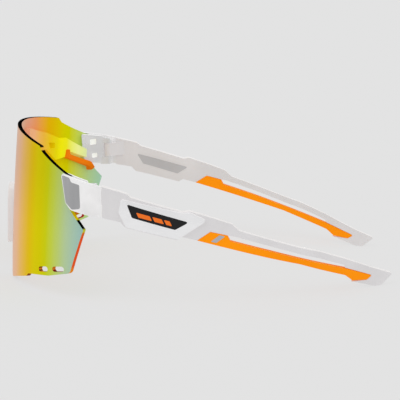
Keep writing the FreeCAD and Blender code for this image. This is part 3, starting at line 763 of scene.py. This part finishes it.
def make_covers():
    """The clear end covers, each with the dark shade of the lens's tab that shows through."""
    cover = wrapped(sliced(plate([rounded(COVER)], COVER_WALL, rim=0.25), step=1.0), on_cover)
    make_sided("end_cover", cover, [CLEAR_COVER], "front", "endpiece_cover")
    shade = sliced(plate([rounded(TAB_SHADE)], thickness=0.3, rim=0.1, rim_steps=2), step=1.0)
    wrapped(shade, on_outside, start=-0.04)
    make_sided("tab_shade", shade, [SMOKE], "front", None)


def make_nose_clip():
    """The clear rim along the nose notch, which stands proud of the lens on both sides."""
    outer = notch_corners(CLIP_OVERLAP, CLIP_LOW, 0.8)
    inner = notch_corners(-CLIP_INSIDE, CLIP_LOW, 0.8)
    left = outer + [(-x, z, radius) for x, z, radius in reversed(outer)]
    back = [(-x, z, radius) for x, z, radius in inner] + list(reversed(inner))
    bm = plate([rounded(left + back)], CLIP_BACK - CLIP_FRONT, rim=0.7, rim_steps=4)
    clip = piece("nose_rim", wrapped(bm, facing(CLIP_FRONT)), [CLEAR_CLIP])
    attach(clip, "front")
    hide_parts("nose_clip")


def pad_mesh():
    """A soft oval pad: full in the middle, thin at its lip, slightly hollow on the clip's side."""
    bm = bmesh.new()
    thick, deep, tall = PAD_HALF
    end, rounder, thinner = PAD_ENDS
    rings = []
    for level in range(1, PAD_RINGS):
        height = math.cos(math.pi * level / PAD_RINGS)
        reach = (1 - abs(height) ** end) ** rounder
        ring = []
        for step in range(PAD_CORNERS):
            turn = 2 * math.pi * step / PAD_CORNERS
            along = math.copysign(abs(math.cos(turn)) ** PAD_OVAL[0], math.cos(turn))
            across = math.copysign(abs(math.sin(turn)) ** PAD_OVAL[1], math.sin(turn))
            hollow = PAD_HOLLOW * (1 - along ** 2) * reach if across > 0 else 0.0
            lip = PAD_LIP * math.cos(8 * min(abs(along), 1.0)) * reach * abs(across)
            x = (across * reach ** thinner * (1 - hollow) + lip) * thick
            ring.append(bm.verts.new((x, along * reach * deep, height * tall)))
        rings.append(ring)
    for ring, below in zip(rings, rings[1:]):
        for step in range(PAD_CORNERS):
            bm.faces.new((ring[step - 1], ring[step], below[step], below[step - 1]))
    for ring, height in ((rings[0], tall), (rings[-1], -tall)):
        tip = bm.verts.new((0, 0, height))
        for step in range(PAD_CORNERS):
            bm.faces.new((ring[step - 1], ring[step], tip))
    bmesh.ops.recalc_face_normals(bm, faces=bm.faces[:])
    turn = Matrix.Rotation(-PAD_SPLAY, 4, "Z") @ Matrix.Rotation(-PAD_TILT, 4, "Y")
    bmesh.ops.transform(bm, matrix=Matrix.Translation(PAD_PLACE) @ turn, verts=bm.verts[:])
    return bm


def make_nose_pads():
    bm = pad_mesh()
    for side, word in ((1, "left"), (-1, "right")):
        pad = piece("soft_pad_" + word, bm, [PAD_RUBBER], side, smooth=80)
        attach(pad, "front")
        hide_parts("nose_pad_" + word)
    bm.free()


def make_arms():
    """Each arm is one plate, joined to the link that holds the hinge's knuckle."""
    arm = wrapped(mark_sides(sliced(plate([rounded(TEMPLE)], ARM_THICKNESS, rim=0.5)), inner=0), on_arm)
    bore = circle(HINGE_X, HINGE_Y, BORE_RADIUS)
    link = plate([rounded(LINK), bore], KNUCKLE_HIGH - KNUCKLE_LOW, rim=0.3)
    wrapped(link, upright(KNUCKLE_LOW))
    # The arm's side faces take the painted edge highlight.
    make_sided("arm", joined(arm, link), [CLEAR_ARM, ARM_EDGE_HIGHLIGHT], "temple", "temple")


def make_bezels():
    """The raised frames: their inner rims are sunk towards the badge."""
    ring = mark_sides(plate([rounded(BEZEL), rounded(BADGE)], thickness=1.4, rim=0.3), inner=0)
    badge = rounded(BADGE)
    for vert in ring.verts:
        near = min((Vector(vert.co[:2]) - point).length for point in badge)
        if near < BEZEL_RIM and vert.co.z < BEZEL_RIM:
            vert.co.z += BEZEL_SINK
    bm = wrapped(sliced(ring), on_outside, start=-0.8)
    # The bezel's side faces take the painted edge highlight.
    make_sided("bezel_ring", bm, [CLEAR_BEZEL, CLEAR_EDGE_HIGHLIGHT], "temple", "bezel")


def make_badges():
    bm = wrapped(sliced(plate([rounded(BADGE)], thickness=0.9, rim=0.12)), on_outside, start=-0.3)
    make_sided("badge_plate", bm, [BLACK], "temple", "badge")


def make_emblems():
    """Three plain slanted bars on each badge."""
    bars = []
    for start, length in EMBLEM_BARS:
        middle_y = start + length / 2
        middle_z = EMBLEM_MIDDLE_Z - EMBLEM_FALL * (middle_y - EMBLEM_BARS[0][0])
        half_z = EMBLEM_HEIGHT / 2
        drop = EMBLEM_FALL * length / 2
        corners = [
            (middle_y - length / 2 - EMBLEM_SLANT, middle_z + drop + half_z, 0.2),
            (middle_y + length / 2 - EMBLEM_SLANT, middle_z - drop + half_z, 0.2),
            (middle_y + length / 2 + EMBLEM_SLANT, middle_z - drop - half_z, 0.2),
            (middle_y - length / 2 + EMBLEM_SLANT, middle_z + drop - half_z, 0.2),
        ]
        bar = sliced(plate([rounded(corners)], thickness=0.35, rim=0.05, rim_steps=2))
        bars.append(wrapped(bar, on_outside, start=-0.35))
    make_sided("badge_bars", joined(*bars), [ORANGE_INLAY], "temple", "emblem")


def make_inner_plates():
    bm = sliced(plate([rounded(INNER_PLATE)], thickness=0.4, rim=0.08, rim_steps=2))
    wrapped(bm, on_inside, start=-0.34)
    make_sided("inner_panel", bm, [GREY], "temple", "inner_plate")


def make_grips():
    bm = sliced(plate([rounded(GRIP)], ARM_THICKNESS + 2 * GRIP_PROUD, rim=0.7, rim_steps=4))
    wrapped(bm, on_arm, start=-GRIP_PROUD)
    make_sided("grip", bm, [ORANGE], "temple", "temple_grip")


def make_grip_windows():
    bm = sliced(plate([rounded(GRIP_WINDOW)], thickness=0.6, rim=0.1, rim_steps=2), step=1.0)
    wrapped(bm, on_outside, start=-0.25)
    make_sided("grip_inset", bm, [WINDOW_GREY], "temple", "grip_window")


def make_brow_rails():
    bm = sliced(plate([rounded(BROW_RAIL)], RAIL_BACK - RAIL_FRONT, rim=0.35))
    wrapped(bm, behind_lens, start=LENS_THICKNESS + FIT + RAIL_FRONT)
    make_sided("brow_rail_skin", bm, [RAIL_ORANGE], "front", "brow_rail")


make_lens()
make_brow_bar()
make_end_frames()
make_covers()
make_nose_clip()
make_nose_pads()
make_arms()
make_bezels()
make_badges()
make_emblems()
make_inner_plates()
make_grips()
make_grip_windows()
make_brow_rails()

for node in ("nose_wire", "hinge_screw_left", "hinge_screw_right", "hinge_nut_left", "hinge_nut_right"):
    for material_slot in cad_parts[node].material_slots:
        material_slot.material = STEEL


# ---- studio --------------------------------------------------------------------------------------
FLOOR_TONE = (227, 227, 227)
FLOOR_GLOW = 0.80           # share of the floor's brightness that no shadow touches
AROUND = 0.80               # brightness of the light from all sides


def make_floor():
    nodes = Nodes("paper_floor")
    glow = srgb(*FLOOR_TONE)
    level = (1 - FLOOR_GLOW) * glow[0] / (AROUND + SUN_ON_FLOOR)
    tones = [(0.3, (level * 0.99,) * 3 + (1.0,)), (0.7, (level,) * 3 + (1.0,))]
    colour = nodes.ramp(nodes.noise(35.0, 4.0), tones)
    nodes.set(Base_Color=colour, Roughness=0.9, Specular_IOR_Level=0.0)
    nodes.set(Emission_Color=glow, Emission_Strength=FLOOR_GLOW)
    bm = bmesh.new()
    bmesh.ops.create_grid(bm, x_segments=8, y_segments=8, size=6.0)
    mesh = bpy.data.meshes.new("floor")
    bm.to_mesh(mesh)
    bm.free()
    mesh.materials.append(nodes.material)
    floor = bpy.data.objects.new("floor", mesh)
    bpy.context.scene.collection.objects.link(floor)


SUNS = [("key", (0.6, -0.8, 1.4), 0.35, 40.0), ("fill", (0.9, 0.9, 0.9), 0.25, 60.0)]
SUN_ON_FLOOR = sum(power * Vector(place).normalized().z for _, place, power, _ in SUNS) / math.pi


def make_sun(name, place, power, wide):
    """A broad, soft light from that direction, the same everywhere on the floor."""
    light = bpy.data.lights.new(name, "SUN")
    light.energy = power
    light.angle = math.radians(wide)
    lamp = bpy.data.objects.new(name, light)
    lamp.location = place
    lamp.rotation_euler = (-Vector(place)).to_track_quat("-Z", "Y").to_euler()
    bpy.context.scene.collection.objects.link(lamp)


def make_studio():
    world = bpy.data.worlds.new("studio")
    bpy.context.scene.world = world
    world.use_nodes = True
    background = world.node_tree.nodes["Background"]
    background.inputs["Color"].default_value = (1.0, 1.0, 1.0, 1.0)
    background.inputs["Strength"].default_value = AROUND
    for sun in SUNS:
        make_sun(*sun)


# ---- camera --------------------------------------------------------------------------------------
CAMERA_PLACE = (0.7613, -0.0026, 0.1698)
CAMERA_AZIMUTH = math.radians(-0.33)
CAMERA_ELEVATION = math.radians(10.37)
CAMERA_ROLL = math.radians(-0.41)
CAMERA_LENS = 153.0


def make_camera():
    forward = Vector((
        -math.cos(CAMERA_ELEVATION) * math.cos(CAMERA_AZIMUTH),
        -math.cos(CAMERA_ELEVATION) * math.sin(CAMERA_AZIMUTH),
        -math.sin(CAMERA_ELEVATION),
    ))
    data = bpy.data.cameras.new("camera")
    data.lens = CAMERA_LENS
    data.sensor_width = 36.0
    data.clip_start = 0.01
    data.clip_end = 50.0
    camera = bpy.data.objects.new("camera", data)
    camera.location = CAMERA_PLACE
    turn = forward.to_track_quat("-Z", "Y").to_matrix()
    right, up = turn.col[0], turn.col[1]
    cos, sin = math.cos(CAMERA_ROLL), math.sin(CAMERA_ROLL)
    turn.col[0] = right * cos + up * sin
    turn.col[1] = up * cos - right * sin
    camera.rotation_euler = turn.to_euler()
    bpy.context.scene.collection.objects.link(camera)
    bpy.context.scene.camera = camera


make_floor()
make_studio()
make_camera()
bpy.context.scene.view_settings.view_transform = "Standard"
